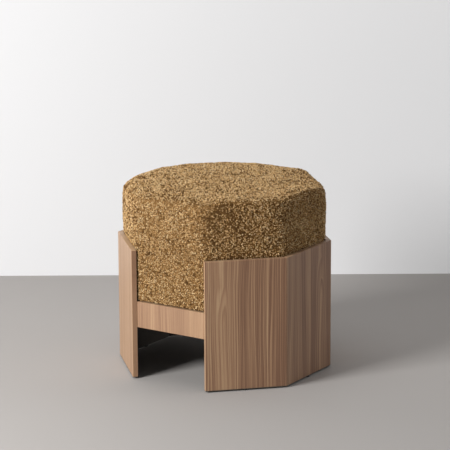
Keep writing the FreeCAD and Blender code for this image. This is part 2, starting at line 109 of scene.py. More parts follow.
bpy.ops.object.select_all(action="DESELECT")
camera_way = Euler((math.pi / 2 - CAMERA_DIP, 0, CAMERA_TURN)).to_matrix()
camera_way = camera_way @ Matrix.Rotation(CAMERA_ROLL, 3, "Z")
bpy.ops.object.camera_add(location=CAMERA_PLACE, rotation=camera_way.to_euler())
camera = bpy.context.object
camera.data.sensor_width = CAMERA_SENSOR
camera.data.lens = CAMERA_LENS
bpy.context.scene.camera = camera

bpy.ops.mesh.primitive_plane_add(size=STAGE_SIZE)
floor = bpy.context.object
floor.name = "floor"
floor_finish, tree, shader = new_finish("floor_paint")
shader.inputs["Base Color"].default_value = FLOOR_COLOUR
shader.inputs["Roughness"].default_value = 0.75
shader.inputs["Specular IOR Level"].default_value = 0.2
floor.data.materials.append(floor_finish)

bpy.ops.mesh.primitive_plane_add(
    size=STAGE_SIZE,
    location=(
        -WALL_DISTANCE * math.sin(CAMERA_TURN),
        WALL_DISTANCE * math.cos(CAMERA_TURN),
        STAGE_SIZE / 2,
    ),
    rotation=(math.pi / 2, 0, CAMERA_TURN),
)
wall = bpy.context.object
wall.name = "wall"
wall_finish, tree, shader = new_finish("wall_paint")
shader.inputs["Base Color"].default_value = WALL_COLOUR
shader.inputs["Roughness"].default_value = 0.9
# It glows a little where it is looked at, and its back is clear for views from behind
rays = add(tree, "ShaderNodeLightPath")
glow = add(tree, "ShaderNodeEmission", {"Color": WALL_GLOW, "Strength": WALL_GLOW_STRENGTH})
looked_at = calc(tree, "MAXIMUM", rays.outputs["Is Camera Ray"], rays.outputs["Is Glossy Ray"])
looked_at = calc(tree, "MAXIMUM", looked_at, rays.outputs["Is Transmission Ray"])
seen = add(tree, "ShaderNodeMixShader", {"Fac": looked_at, 2: glow.outputs[0]})
lit = add(tree, "ShaderNodeAddShader", {0: shader.outputs[0], 1: seen.outputs[0]})
back = add(tree, "ShaderNodeNewGeometry").outputs["Backfacing"]
clear = add(tree, "ShaderNodeBsdfTransparent")
one_sided = add(tree, "ShaderNodeMixShader", {"Fac": back, 1: lit.outputs[0], 2: clear.outputs[0]})
tree.links.new(one_sided.outputs[0], tree.nodes["Material Output"].inputs["Surface"])
wall.data.materials.append(wall_finish)


def area_lamp(name, place, way, width, power):
    """A soft square lamp that isn't seen itself."""
    bpy.ops.object.light_add(type="AREA", location=place, rotation=way)
    lamp = bpy.context.object
    lamp.name = name
    lamp.data.size = width
    lamp.data.energy = power
    lamp.visible_camera = False


front_place = (
    LAMP_DISTANCE * math.cos(LAMP_RISE) * math.sin(LAMP_TURN),
    -LAMP_DISTANCE * math.cos(LAMP_RISE) * math.cos(LAMP_TURN),
    LAMP_AIM + LAMP_DISTANCE * math.sin(LAMP_RISE),
)
front_way = (math.pi / 2 - LAMP_RISE, 0, LAMP_TURN)
left_way = (math.pi / 2 - SIDE_LAMP_DIP, 0, LEFT_LAMP_TURN)
right_way = (math.pi / 2 - SIDE_LAMP_DIP, 0, RIGHT_LAMP_TURN)
area_lamp("front_lamp", front_place, front_way, width=1.1, power=127)
area_lamp("top_lamp", (-0.4, -0.3, 3.2), (0, 0, 0), width=2.2, power=16)
area_lamp("left_lamp", (-2.9, 0.6, 1.1), left_way, width=2.0, power=12)
area_lamp("right_lamp", (2.2, 1.75, 0.9), right_way, width=1.6, power=18)

world = bpy.data.worlds.new("studio_light")
world.use_nodes = True
bpy.context.scene.world = world
world.node_tree.nodes["Background"].inputs["Color"].default_value = (1, 1, 1, 1)
world.node_tree.nodes["Background"].inputs["Strength"].default_value = WORLD_STRENGTH
bpy.context.scene.view_settings.view_transform = "Standard"

# Side panels: six veneered boards, mitred in two groups of three and standing upright.
# Flat-cut open-grained veneer with a matt oil outside, painted shade in near-black inside the case.
PANEL_INNER_FACE = -0.218
# The turn from one facet to the next
TURN = math.pi / 4
VENEER_DARK = (0.205, 0.105, 0.060, 1)
VENEER_BODY = (0.369, 0.217, 0.123, 1)
VENEER_PALE = (0.514, 0.347, 0.204, 1)
PAINTED_SHADE_BLACK = (0.085, 0.069, 0.053, 1)
RING_WIDTH = 0.0052
BAND_WIDTH = 0.0190
ARCH_SLOPE = 0.125
ARCH_HEIGHT = 0.095
# How far the grain wanders sideways, and how far its broad figure bends the rings
GRAIN_WANDER = 0.022
RING_SWAY = 0.035
# How fine the broad figure, the grain and the pores are
BROAD_SCALE = 30
FINE_SCALE = 330
PORE_SCALE = 1500
# What each of them adds to the tone of the wood, round a middle tone
BROAD_WEIGHT = 0.45
BAND_WEIGHT = 0.16
RING_WEIGHT = 0.15
LATE_WEIGHT = -0.22
FINE_WEIGHT = 0.55
TONE_LIFT = 0.035
MIDDLE_TONE = 0.53
# The upward-facing top edge is painted paler as a painted highlight, and the lipping at the ends has a
# tone of its own
TOP_EDGE_PAINTED_LIGHT = 0.14
LIPPING_TONE = 0.50
LIPPING_WEIGHT = 0.4
# Painted shade in near-black starts just inside the inner face, and a painted contact shadow covers the
# lowest millimetres too
INSIDE_SHADE_DEEP = 0.0007
INSIDE_SHADE_SKIN = 0.0002
FOOT_SHADOW_FULL = 0.0044
FOOT_SHADOW_END = 0.0054
# Facet, offset of the pattern, place and foot of the pointed figure, strength of the grain,
# and how much paler the leaf is: partly the leaf's own tone, partly painted light and shade for how the
# facet faces the lamps
PANEL_LEAVES = {
    "front_right_panel": (1, 0.13, -0.049, 0.148, 1.1, -0.08),
    "right_panel": (2, 1.71, 0.052, 0.175, 1.0, -0.07),
    "back_right_panel": (3, 2.90, 0.018, 0.130, 1.1, 0.01),
    "back_left_panel": (5, 4.37, -0.035, 0.095, 1.1, 0.0),
    "left_panel": (6, 5.22, 0.041, 0.165, 1.0, 0.02),
    "front_left_panel": (7, 6.64, 0.160, 0.145, 0.6, 0.04),
}


def between(tree, value, low, high, to_low=0.0, to_high=1.0):
    """Value moved smoothly from one span to another."""
    span = {"Value": value, "From Min": low, "From Max": high, "To Min": to_low, "To Max": to_high}
    return add(tree, "ShaderNodeMapRange", span, interpolation_type="SMOOTHSTEP").outputs["Result"]


def tint(tree, share, first, second, mode="MIX"):
    """Two colours mixed."""
    mix = add(tree, "ShaderNodeMix", {0: share, 6: first, 7: second}, data_type="RGBA", blend_type=mode)
    return mix.outputs[2]


def weighed(tree, noise, weight, onto):
    """Noise counted from its middle, weighed and added to a value."""
    return calc(tree, "MULTIPLY_ADD", calc(tree, "SUBTRACT", noise, 0.5), weight, onto)


def step_tone(tree, steps, seed):
    """A tone drawn for each whole step."""
    number = calc(tree, "ADD", calc(tree, "FLOOR", steps), seed)
    return add(tree, "ShaderNodeTexWhiteNoise", {"W": number}, noise_dimensions="1D").outputs["Value"]


def colours(tree, value, first, last, *others):
    """A colour for each value: the first and the last at their places, and others between."""
    made = add(tree, "ShaderNodeValToRGB", {0: value})
    stops = made.color_ramp.elements
    for number, (place, colour) in enumerate((first, last)):
        stops[number].position = place
        stops[number].color = colour
    for place, colour in others:
        stops.new(place).color = colour
    return made.outputs[0]


def emboss(tree, shader, height, strength, distance):
    """Lets a value stand out of the surface a little."""
    settings = {"Strength": strength, "Distance": distance, "Height": height}
    bump = add(tree, "ShaderNodeBump", settings)
    tree.links.new(bump.outputs[0], shader.inputs["Normal"])


def streaks(tree, along, up, seed, scale, stretch, detail=3.0):
    """Upright streaks: noise drawn out along the grain."""
    spot = add(tree, "ShaderNodeCombineXYZ", {0: along, 1: seed, 2: calc(tree, "MULTIPLY", up, stretch)})
    settings = {"Vector": spot.outputs[0], "Scale": scale, "Detail": detail, "Roughness": 0.55}
    return add(tree, "ShaderNodeTexNoise", settings).outputs["Fac"]


def veneer(name, facet, seed, figure_place, figure_foot, strength, paler, inner_face):
    """Upright flat-cut veneer on one facet, with painted shade in near-black on the face inside the case
    and a painted shadow along its foot.
    """
    finish, tree, shader = new_finish(name)
    place = add(tree, "ShaderNodeTexCoord").outputs["Object"]
    local = add(tree, "ShaderNodeMapping", {"Vector": place, "Rotation": (0, 0, -facet * TURN)})
    axes = add(tree, "ShaderNodeSeparateXYZ", {0: local.outputs[0]})
    along, depth, up = axes.outputs
    # The grain wanders a few millimetres on its way up
    wander = streaks(tree, along, up, seed + 9, 9, 0.35, 1.0)
    line = weighed(tree, wander, GRAIN_WANDER, along)
    broad = streaks(tree, line, up, seed, BROAD_SCALE, 0.03, 1.0)
    fine = streaks(tree, line, up, seed + 5, FINE_SCALE, 0.012, 3.0)
    pores = streaks(tree, line, up, seed + 7, PORE_SCALE, 0.02, 1.0)
    # Growth rings: straight lines, and pointed arches where the cut runs near the heart
    off = calc(tree, "SUBTRACT", line, figure_place)
    above = calc(tree, "MAXIMUM", calc(tree, "SUBTRACT", up, figure_foot), 0.0)
    lift = calc(tree, "MULTIPLY", calc(tree, "MINIMUM", above, ARCH_HEIGHT), ARCH_SLOPE)
    squares = calc(tree, "ADD", calc(tree, "MULTIPLY", off, off), calc(tree, "MULTIPLY", lift, lift))
    ring_way = calc(tree, "MULTIPLY_ADD", broad, RING_SWAY, calc(tree, "SQRT", squares))
    rings = calc(tree, "DIVIDE", ring_way, RING_WIDTH)
    bands = calc(tree, "DIVIDE", ring_way, BAND_WIDTH)
    within = calc(tree, "FRACT", rings)
    darker = between(tree, within, 0.2, 0.8)
    late = calc(tree, "MULTIPLY", darker, between(tree, within, 0.86, 1.0, 1.0, 0.0))
    ring_tone = step_tone(tree, rings, seed)
    band_tone = step_tone(tree, bands, seed + 50)
    tone = weighed(tree, broad, BROAD_WEIGHT, TONE_LIFT)
    tone = weighed(tree, band_tone, BAND_WEIGHT, tone)
    tone = weighed(tree, ring_tone, RING_WEIGHT, tone)
    tone = calc(tree, "MULTIPLY_ADD", calc(tree, "MULTIPLY", late, ring_tone), LATE_WEIGHT, tone)
    tone = weighed(tree, fine, FINE_WEIGHT, tone)
    # The paler tone is partly the leaf's own and partly painted light and shade for how the facet faces
    # the lamps
    tone = calc(tree, "MULTIPLY_ADD", tone, strength, MIDDLE_TONE + paler)
    # The ends have a lipping of their own, and the upward-facing top edge gets a painted highlight
    facing = add(tree, "ShaderNodeNewGeometry").outputs["Normal"]
    turned = add(tree, "ShaderNodeMapping", {"Vector": facing, "Rotation": (0, 0, -facet * TURN)})
    sideways, _, upwards = add(tree, "ShaderNodeSeparateXYZ", {0: turned.outputs[0]}).outputs
    lipped = between(tree, calc(tree, "ABSOLUTE", sideways), 0.6, 0.9)
    tone = calc(tree, "MULTIPLY_ADD", between(tree, upwards, 0.6, 0.9), TOP_EDGE_PAINTED_LIGHT, tone)
    lipping = weighed(tree, fine, LIPPING_WEIGHT, LIPPING_TONE - 1.5 * paler)
    lipping = calc(tree, "SUBTRACT", lipping, tone)
    tone = calc(tree, "MULTIPLY_ADD", lipping, lipped, tone)
    wood = colours(tree, tone, (0.30, VENEER_DARK), (0.76, VENEER_PALE), (0.53, VENEER_BODY))
    pore = between(tree, pores, 0.60, 0.74, 0.0, 0.45)
    wood = tint(tree, pore, wood, VENEER_DARK)
    # Painted shade: near-black inside the case, and a painted contact shadow along the lowest
    # millimetres of the foot
    inside = between(tree, depth, inner_face - INSIDE_SHADE_DEEP, inner_face - INSIDE_SHADE_SKIN)
    foot = between(tree, up, FOOT_SHADOW_FULL, FOOT_SHADOW_END, 1.0, 0.0)
    painted_shade = calc(tree, "MAXIMUM", inside, foot)
    tree.links.new(tint(tree, painted_shade, wood, PAINTED_SHADE_BLACK), shader.inputs["Base Color"])
    tree.links.new(between(tree, tone, 0.3, 0.8, 0.50, 0.40), shader.inputs["Roughness"])
    shader.inputs["Specular IOR Level"].default_value = 0.5
    relief = calc(tree, "SUBTRACT", calc(tree, "MULTIPLY", fine, 0.6), pore)
    emboss(tree, shader, relief, 0.25, 0.0004)
    return finish


def dress(name, finish):
    """Gives a CAD node its finish."""
    nodes[name].data.materials.clear()
    nodes[name].data.materials.append(finish)


for name, leaf in PANEL_LEAVES.items():
    dress(name, veneer(f"{name}_veneer", *leaf, PANEL_INNER_FACE))

# Aprons: two short boards between the panel groups, under the open facets. The same
# veneer as the panels, screwed on from inside through corner blocks.
APRON_INNER_FACE = -0.206
APRON_LEAVES = {
    "front_apron": (0, 8.19, 0.20, 0.1, 0.7, -0.03),
    "back_apron": (4, 9.43, -0.20, 0.1, 0.7, 0.0),
}
for name, leaf in APRON_LEAVES.items():
    dress(name, veneer(f"{name}_veneer", *leaf, APRON_INNER_FACE))

# Glides and their nails: small black nylon feet, one in the middle of each panel's lower
# edge, each held by a steel nail driven up through it.
NYLON_BLACK = (0.016, 0.016, 0.017, 1)
NYLON_WORN = (0.045, 0.044, 0.043, 1)
STEEL_BRIGHT = (0.60, 0.60, 0.59, 1)
STEEL_DULL = (0.42, 0.42, 0.41, 1)

nylon, tree, shader = new_finish("nylon")
place = add(tree, "ShaderNodeTexCoord").outputs["Object"]
scuffs = add(tree, "ShaderNodeTexNoise", {"Vector": place, "Scale": 420, "Detail": 3}).outputs["Fac"]
worn = between(tree, scuffs, 0.45, 0.75)
tree.links.new(tint(tree, worn, NYLON_BLACK, NYLON_WORN), shader.inputs["Base Color"])
tree.links.new(between(tree, scuffs, 0.3, 0.7, 0.38, 0.6), shader.inputs["Roughness"])

zinc, tree, shader = new_finish("zinc_plate")
place = add(tree, "ShaderNodeTexCoord").outputs["Object"]
bloom = add(tree, "ShaderNodeTexNoise", {"Vector": place, "Scale": 650, "Detail": 3}).outputs["Fac"]
dull = between(tree, bloom, 0.35, 0.7)
tree.links.new(tint(tree, dull, STEEL_BRIGHT, STEEL_DULL), shader.inputs["Base Color"])
tree.links.new(between(tree, bloom, 0.3, 0.7, 0.26, 0.42), shader.inputs["Roughness"])
shader.inputs["Metallic"].default_value = 1.0

for name in ("front_left", "front_right", "left", "right", "back_left", "back_right"):
    dress(f"{name}_glide", nylon)
dress("glide_nails", zinc)

# Splines: thin strips of hardwood glued into the four mitres, stopped short of both ends
# so that they don't show.
SPLINE_DARK = (0.36, 0.24, 0.14, 1)
SPLINE_PALE = (0.52, 0.38, 0.24, 1)
spline_wood, tree, shader = new_finish("spline_wood")
place = add(tree, "ShaderNodeTexCoord").outputs["Object"]
axes = add(tree, "ShaderNodeSeparateXYZ", {0: place}).outputs
grain = streaks(tree, calc(tree, "ADD", axes[0], axes[1]), axes[2], 2.3, 500, 0.02)
tree.links.new(tint(tree, grain, SPLINE_DARK, SPLINE_PALE), shader.inputs["Base Color"])
shader.inputs["Roughness"].default_value = 0.7
for name in ("front_right_to_right", "right_to_back_right", "back_left_to_left", "left_to_front_left"):
    dress(f"{name}_spline", spline_wood)

# Cleats and corner blocks: hardwood strips that carry the deck, and blocks that hold the
# aprons, all painted near-black as painted shade with the inside of the case. Screwed with zinc-plated
# screws.
FACETS = ("front", "front_right", "right", "back_right", "back", "back_left", "left", "front_left")
PAINTED_SHADE_FIBRE = (0.060, 0.049, 0.038, 1)

# Painted shade: near-black wood with faint fibres for the pieces inside the case
painted_shade_wood, tree, shader = new_finish("painted_shade_wood")
place = add(tree, "ShaderNodeTexCoord").outputs["Object"]
fibres = add(tree, "ShaderNodeTexNoise", {"Vector": place, "Scale": 260, "Detail": 5}).outputs["Fac"]
tree.links.new(tint(tree, fibres, PAINTED_SHADE_BLACK, PAINTED_SHADE_FIBRE), shader.inputs["Base Color"])
tree.links.new(between(tree, fibres, 0.3, 0.7, 0.7, 0.55), shader.inputs["Roughness"])
emboss(tree, shader, fibres, 0.3, 0.0005)
for name in FACETS:
    dress(f"{name}_cleat", painted_shade_wood)
for name in ("front_left", "front_right", "back_left", "back_right"):
    dress(f"{name}_block", painted_shade_wood)
dress("cleat_screws", zinc)
dress("block_screws", zinc)

# Deck and seat boards: plywood, the deck screwed to the cleats and painted near-black below as painted
# shade,
# the boards screwed together into the box inside the seat.
PLY_FACE = (0.58, 0.44, 0.29, 1)
PLY_STREAK = (0.47, 0.34, 0.21, 1)
PLY_CORE = (0.38, 0.26, 0.15, 1)
PLY_LAYER = 0.0013
DECK_BOTTOM = 0.169
DECK_SHADE_FULL = 0.0004
DECK_SHADE_END = 0.0008


def plywood(name, flat, shaded_below):
    """Plywood of thin layers. Flat boards show them on their edges, along Z."""
    finish, tree, shader = new_finish(name)
    place = add(tree, "ShaderNodeTexCoord").outputs["Object"]
    axes = add(tree, "ShaderNodeSeparateXYZ", {0: place}).outputs
    facing = add(tree, "ShaderNodeNewGeometry").outputs["Normal"]
    upwards = add(tree, "ShaderNodeSeparateXYZ", {0: facing}).outputs[2]
    grain = streaks(tree, axes[0], axes[1], 4.1, 150, 0.03, 4.0)
    face = tint(tree, between(tree, grain, 0.35, 0.65), PLY_STREAK, PLY_FACE)
    layer = calc(tree, "SINE", calc(tree, "MULTIPLY", axes[2], math.pi / PLY_LAYER))
    edge = tint(tree, between(tree, layer, -0.3, 0.3), PLY_CORE, PLY_FACE)
    level = between(tree, calc(tree, "ABSOLUTE", upwards), 0.5, 0.8)
    wood = tint(tree, level, edge, face) if flat else face
    # Painted shade: the underside of the deck is made near-black
    if shaded_below:
        shade_full, shade_gone = DECK_BOTTOM + DECK_SHADE_FULL, DECK_BOTTOM + DECK_SHADE_END
        below = between(tree, axes[2], shade_full, shade_gone, 1.0, 0.0)
        wood = tint(tree, below, wood, PAINTED_SHADE_BLACK)
    tree.links.new(wood, shader.inputs["Base Color"])
    tree.links.new(between(tree, grain, 0.3, 0.7, 0.72, 0.6), shader.inputs["Roughness"])
    return finish


dress("deck", plywood("deck_plywood", True, True))
dress("deck_screws", zinc)
flat_board = plywood("flat_board_plywood", True, False)
side_board = plywood("side_board_plywood", False, False)
dress("seat_base_board", flat_board)
dress("seat_top_board", flat_board)
for name in FACETS:
    dress(f"{name}_seat_board", side_board)
dress("seat_screws", zinc)
dress("staples", zinc)

# Side foam: a band of firm foam glued round the seat's box, from the base board up to the
# top board. The case lets it be a little thinner than the foam above.
BOX_RADIUS = 0.1866
BOX_TOP = 0.375
SIDE_FOAM_RADIUS = 0.2064
SIDE_FOAM_BOTTOM = 0.2004
SIDE_FOAM_TOP = BOX_TOP - 0.0002
SIDE_FOAM_EDGE = 0.002
FOAM_WAVE_SIZE = 0.06
FOAM_WAVE = 0.0006
FOAM_PALE = (0.86, 0.80, 0.66, 1)
FOAM_YELLOWED = (0.72, 0.62, 0.42, 1)


def octagon(name, radius, bottom, top, ends="NGON"):
    """An eight-sided prism with its facets square to the case."""
    bpy.ops.object.select_all(action="DESELECT")
    bpy.ops.mesh.primitive_cylinder_add(
        vertices=8,
        radius=radius / math.cos(TURN / 2),
        depth=top - bottom,
        end_fill_type=ends,
        location=(0, 0, (top + bottom) / 2),
        rotation=(0, 0, TURN / 2),
    )
    made = bpy.context.object
    made.name = name
    bpy.ops.object.transform_apply(location=True, rotation=True, scale=True)
    return made


def apply(piece, name, kind, **settings):
    """Adds a modifier to the active piece, sets it and applies it."""
    change = piece.modifiers.new(name, kind)
    for setting, value in settings.items():
        setattr(change, setting, value)
    bpy.ops.object.modifier_apply(modifier=change.name)


foam, tree, shader = new_finish("foam")
place = add(tree, "ShaderNodeTexCoord").outputs["Object"]
cells = add(tree, "ShaderNodeTexVoronoi", {"Vector": place, "Scale": 900}).outputs["Distance"]
aged = add(tree, "ShaderNodeTexNoise", {"Vector": place, "Scale": 14, "Detail": 3}).outputs["Fac"]
body = tint(tree, between(tree, aged, 0.35, 0.7), FOAM_PALE, FOAM_YELLOWED)
pitted = tint(tree, between(tree, cells, 0.3, 0.7, 0.0, 0.35), body, FOAM_YELLOWED)
tree.links.new(pitted, shader.inputs["Base Color"])
shader.inputs["Roughness"].default_value = 0.95
emboss(tree, shader, cells, 0.5, 0.0005)
foam_waves = bpy.data.textures.new("foam_waves", "CLOUDS")
foam_waves.noise_scale = FOAM_WAVE_SIZE

side_foam = octagon("side_foam_band", SIDE_FOAM_RADIUS, SIDE_FOAM_BOTTOM, SIDE_FOAM_TOP, "NOTHING")
bpy.ops.object.mode_set(mode="EDIT")
bpy.ops.mesh.select_all(action="SELECT")
bpy.ops.mesh.subdivide(number_cuts=7)
bpy.ops.object.mode_set(mode="OBJECT")
apply(
    side_foam,
    "band",
    "SOLIDIFY",
    thickness=SIDE_FOAM_RADIUS - BOX_RADIUS,
    offset=-1,
    use_even_offset=True,
)
apply(
    side_foam,
    "cut_edges",
    "BEVEL",
    width=SIDE_FOAM_EDGE,
    segments=2,
    limit_method="ANGLE",
    angle_limit=0.6,
)
apply(side_foam, "waves", "DISPLACE", texture=foam_waves, strength=FOAM_WAVE, mid_level=1.0)
side_foam.data.materials.clear()
side_foam.data.materials.append(foam)
bpy.ops.object.shade_smooth()
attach(side_foam, "seat")
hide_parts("side_foam")

# Top foam: one thick crowned pad glued on the top board and over the edge of the band.
# Its corners and its upper edge are cut round.
TOP_FOAM_RADIUS = 0.2090
TOP_FOAM_EDGE_TOP = 0.4185
TOP_FOAM_CROWN = 0.0095
TOP_FOAM_CORNER = 0.018
TOP_FOAM_EDGE = 0.020
TOP_FOAM_GRID = 0.006
LOWER_BEVEL = 0.0025


def pick(piece, kind, wanted):
    """Selects the edges or faces of the active piece whose points pass a test, in edit mode."""
    bpy.ops.object.mode_set(mode="EDIT")
    bpy.ops.mesh.select_mode(type=kind)
    bpy.ops.mesh.select_all(action="DESELECT")
    bpy.ops.object.mode_set(mode="OBJECT")
    points = piece.data.vertices
    for item in piece.data.edges if kind == "EDGE" else piece.data.polygons:
        item.select = wanted([points[i].co for i in item.vertices])
    bpy.ops.object.mode_set(mode="EDIT")


def soft_block(name, radius, bottom, top, corner, edge, grid):
    """An octagon with rounded corners and upper edge, remeshed into small even faces."""
    made = octagon(name, radius, bottom, top)
    pick(made, "EDGE", lambda ends: abs(ends[0].z - ends[1].z) > (top - bottom) / 2)
    bpy.ops.mesh.bevel(offset=corner, segments=5, profile=0.5, affect="EDGES")
    pick(made, "EDGE", lambda ends: min(ends[0].z, ends[1].z) > top - 0.001)
    bpy.ops.mesh.bevel(offset=edge, segments=6, profile=0.5, affect="EDGES")
    pick(made, "EDGE", lambda ends: max(ends[0].z, ends[1].z) < bottom + 0.001)
    bpy.ops.mesh.bevel(offset=LOWER_BEVEL, segments=2, profile=0.5, affect="EDGES")
    bpy.ops.object.mode_set(mode="OBJECT")
    made.data.remesh_voxel_size = grid
    bpy.ops.object.voxel_remesh()
    return made


def ease(value, low, high):
    """Smooth step from 0 at low to 1 at high."""
    share = min(1.0, max(0.0, (value - low) / (high - low)))
    return share * share * (3 - 2 * share)


top_foam = soft_block(
    "top_foam_pad",
    TOP_FOAM_RADIUS,
    BOX_TOP,
    TOP_FOAM_EDGE_TOP,
    TOP_FOAM_CORNER,
    TOP_FOAM_EDGE,
    TOP_FOAM_GRID,
)
for point in top_foam.data.vertices:
    inner = max(0.0, 1 - (point.co.x**2 + point.co.y**2) / TOP_FOAM_RADIUS**2)
    point.co.z += TOP_FOAM_CROWN * inner * ease(point.co.z, BOX_TOP, TOP_FOAM_EDGE_TOP)
apply(top_foam, "waves", "DISPLACE", texture=foam_waves, strength=FOAM_WAVE, mid_level=1.0)
top_foam.data.materials.clear()
top_foam.data.materials.append(foam)
bpy.ops.object.shade_smooth()
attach(top_foam, "seat")
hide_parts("top_foam")

# Wadding: a soft white layer laid over both foams and held by the cover. It swells above
# the case, and the case holds it in below.
CASE_TOP = 0.300
WADDING_RADIUS = 0.2112
WADDING_BOTTOM = 0.1856
WADDING_TOP = 0.4242
WADDING_WHITE = (0.84, 0.83, 0.80, 1)
WADDING_SHADE = (0.66, 0.65, 0.62, 1)
CORNER_BEVEL = 0.0142
EDGE_BEVEL = 0.0145
WADDING_GRID = 0.005
STAPLED_BAND = 0.012
# How hard and how long it is blown up, and the least share of the room that it fills
SWELL_PRESSURE = 4
SWELL_STEPS = 20
SWELL_LEAST = 0.8
# The room to swell: in the case, right above its edge, further up, and on the top
SWELL_START = CASE_TOP - 0.001
SWELL_OVER = CASE_TOP + 0.005
SWELL_END = CASE_TOP + 0.050
SWELL_INSIDE = 0.0002
SWELL_ABOVE = 0.0058
SWELL_HIGHER = 0.0012
CROWN_EDGE = 0.0004
CROWN_RISE = 0.0078
# In the case this outer band fills the corners but for a share of slack, up to a height
CORNER_FILL = 0.006
CORNER_SLACK = 0.25
FILL_END = CASE_TOP + 0.004
# Where the rim starts that the seams draw in, and how wide, how deep and how far they do
RIM_START = 0.6 * WADDING_RADIUS
SEAM_SPAN = 0.25
SEAM_DEPTH = 0.045
SEAM_PULL = 0.6
# From here up the layer is free of the case
FREE_HEIGHT = CASE_TOP + 0.03
# How far the seams draw the upper edge down at each corner, round from the front facet
CORNER_DROPS = (0.0026, 0.0026, 0.0042, -0.0012, 0.0026, 0.0026, 0.0055, 0.0026)
# The stretch of the upper edge that its seam keeps crisp, in facets round from the front one
CRISP_START = 0.55
CRISP_END = 2.3
CRISP_BLEND = 0.2
CRISP_LIFT = 0.0055
CRISP_RIM = 0.7 * WADDING_RADIUS
CRISP_DEPTH = 0.02
CRISP_REACH = 0.016
CRISP_POWER = 8
CRISP_OUT = WADDING_RADIUS + 0.0065
CRISP_TOP = WADDING_TOP + 0.0048
# The corner after the front right facet is rounder than the others
SOFT_CORNER = 1.5
SOFT_SPAN = 0.24
SOFT_DRAW = 0.0045


def facet_reach(spot):
    """How far out a spot lies, towards the facet that it is nearest to."""
    return max(spot.x * math.sin(k * TURN) - spot.y * math.cos(k * TURN) for k in range(8))


wadding = soft_block(
    "wadding_layer",
    WADDING_RADIUS,
    WADDING_BOTTOM,
    WADDING_TOP,
    CORNER_BEVEL,
    EDGE_BEVEL,
    WADDING_GRID,
)
held = wadding.vertex_groups.new(name="stapled")
low_points = [p.index for p in wadding.data.vertices if p.co.z < WADDING_BOTTOM + STAPLED_BAND]
held.add(low_points, 1.0, "ADD")
starts = [(p.co.copy(), p.normal.copy()) for p in wadding.data.vertices]
cloth = wadding.modifiers.new("Cloth", "CLOTH")
cloth.settings.use_pressure = True
cloth.settings.uniform_pressure_force = SWELL_PRESSURE
cloth.settings.vertex_group_mass = "stapled"
cloth.settings.effector_weights.gravity = 0
for step in range(1, SWELL_STEPS + 1):
    bpy.context.scene.frame_set(step)
bpy.ops.object.modifier_apply(modifier=cloth.name)
bpy.context.scene.frame_set(1)
for point, (start, way) in zip(wadding.data.vertices, starts):
    # The foam keeps the layer from sinking, and the cover from swelling too far
    side = SWELL_INSIDE + SWELL_ABOVE * ease(start.z, SWELL_START, SWELL_OVER)
    side += SWELL_HIGHER * ease(start.z, SWELL_OVER, SWELL_END)
    inner = max(0.0, 1 - (start.x**2 + start.y**2) / WADDING_RADIUS**2)
    crown = CROWN_EDGE + CROWN_RISE * inner
    upward = ease(way.z, 0.35, 0.95)
    most = side * (1 - upward) + crown * upward
    swell = min(most, max(SWELL_LEAST * most, (point.co - start).dot(way)))
    point.co = start + way * (swell if way.z > -0.5 else 0.0)
wadding.vertex_groups.clear()
apply(wadding, "soften", "SMOOTH", factor=0.5, iterations=3)
for point in wadding.data.vertices:
    spot = point.co
    out = facet_reach(spot)
    # Between the panels the layer fills the corners and comes no further out than they let it
    if out > WADDING_RADIUS - CORNER_FILL:
        wanted = WADDING_RADIUS - CORNER_SLACK * max(0.0, WADDING_RADIUS - out)
        grow = 1 + ease(spot.z, FILL_END, CASE_TOP) * (wanted / out - 1)
        spot.x *= grow
        spot.y *= grow
    # The seams draw the upper edge down at the eight corners
    turns = math.atan2(spot.x, -spot.y) / TURN
    reach = math.hypot(spot.x, spot.y)
    drawn = CORNER_DROPS[math.floor(turns) % 8] * ease(abs(turns % 1 - 0.5), SEAM_SPAN, 0.0)
    drawn *= ease(reach, RIM_START, WADDING_RADIUS)
    drawn *= ease(spot.z, WADDING_TOP - SEAM_DEPTH, WADDING_TOP)
    spot.z -= drawn
    spot.x *= 1 - SEAM_PULL * drawn / max(reach, 0.01)
    spot.y *= 1 - SEAM_PULL * drawn / max(reach, 0.01)
    # Over the front right facets the seam holds the edge up and nearly square
    crisp = ease(turns, CRISP_START - CRISP_BLEND, CRISP_START + CRISP_BLEND)
    crisp *= ease(turns, CRISP_END + CRISP_BLEND, CRISP_END - CRISP_BLEND)
    lifted = ease(out, CRISP_RIM, WADDING_RADIUS)
    spot.z += CRISP_LIFT * crisp * lifted * ease(spot.z, WADDING_TOP - CRISP_DEPTH, WADDING_TOP)
    aside = 1 - (CRISP_OUT - out) / CRISP_REACH
    upward = 1 - (CRISP_TOP - spot.z) / CRISP_REACH
    if crisp > 0 and aside > 0 and upward > 0:
        square = (aside**CRISP_POWER + upward**CRISP_POWER) ** (1 / CRISP_POWER)
        grow = crisp * (math.hypot(aside, upward) / square - 1)
        push = CRISP_REACH * min(aside * grow, max(0.0, 1 - aside))
        spot.z += CRISP_REACH * min(upward * grow, max(0.0, 1 - upward))
        spot.x *= 1 + push / out
        spot.y *= 1 + push / out
    soft = SOFT_DRAW * ease(abs(turns - SOFT_CORNER), SOFT_SPAN, 0.0)
    soft *= ease(spot.z, CASE_TOP, FREE_HEIGHT) * ease(out, RIM_START, WADDING_RADIUS)
    spot.x *= 1 - soft / max(reach, 0.01)
    spot.y *= 1 - soft / max(reach, 0.01)

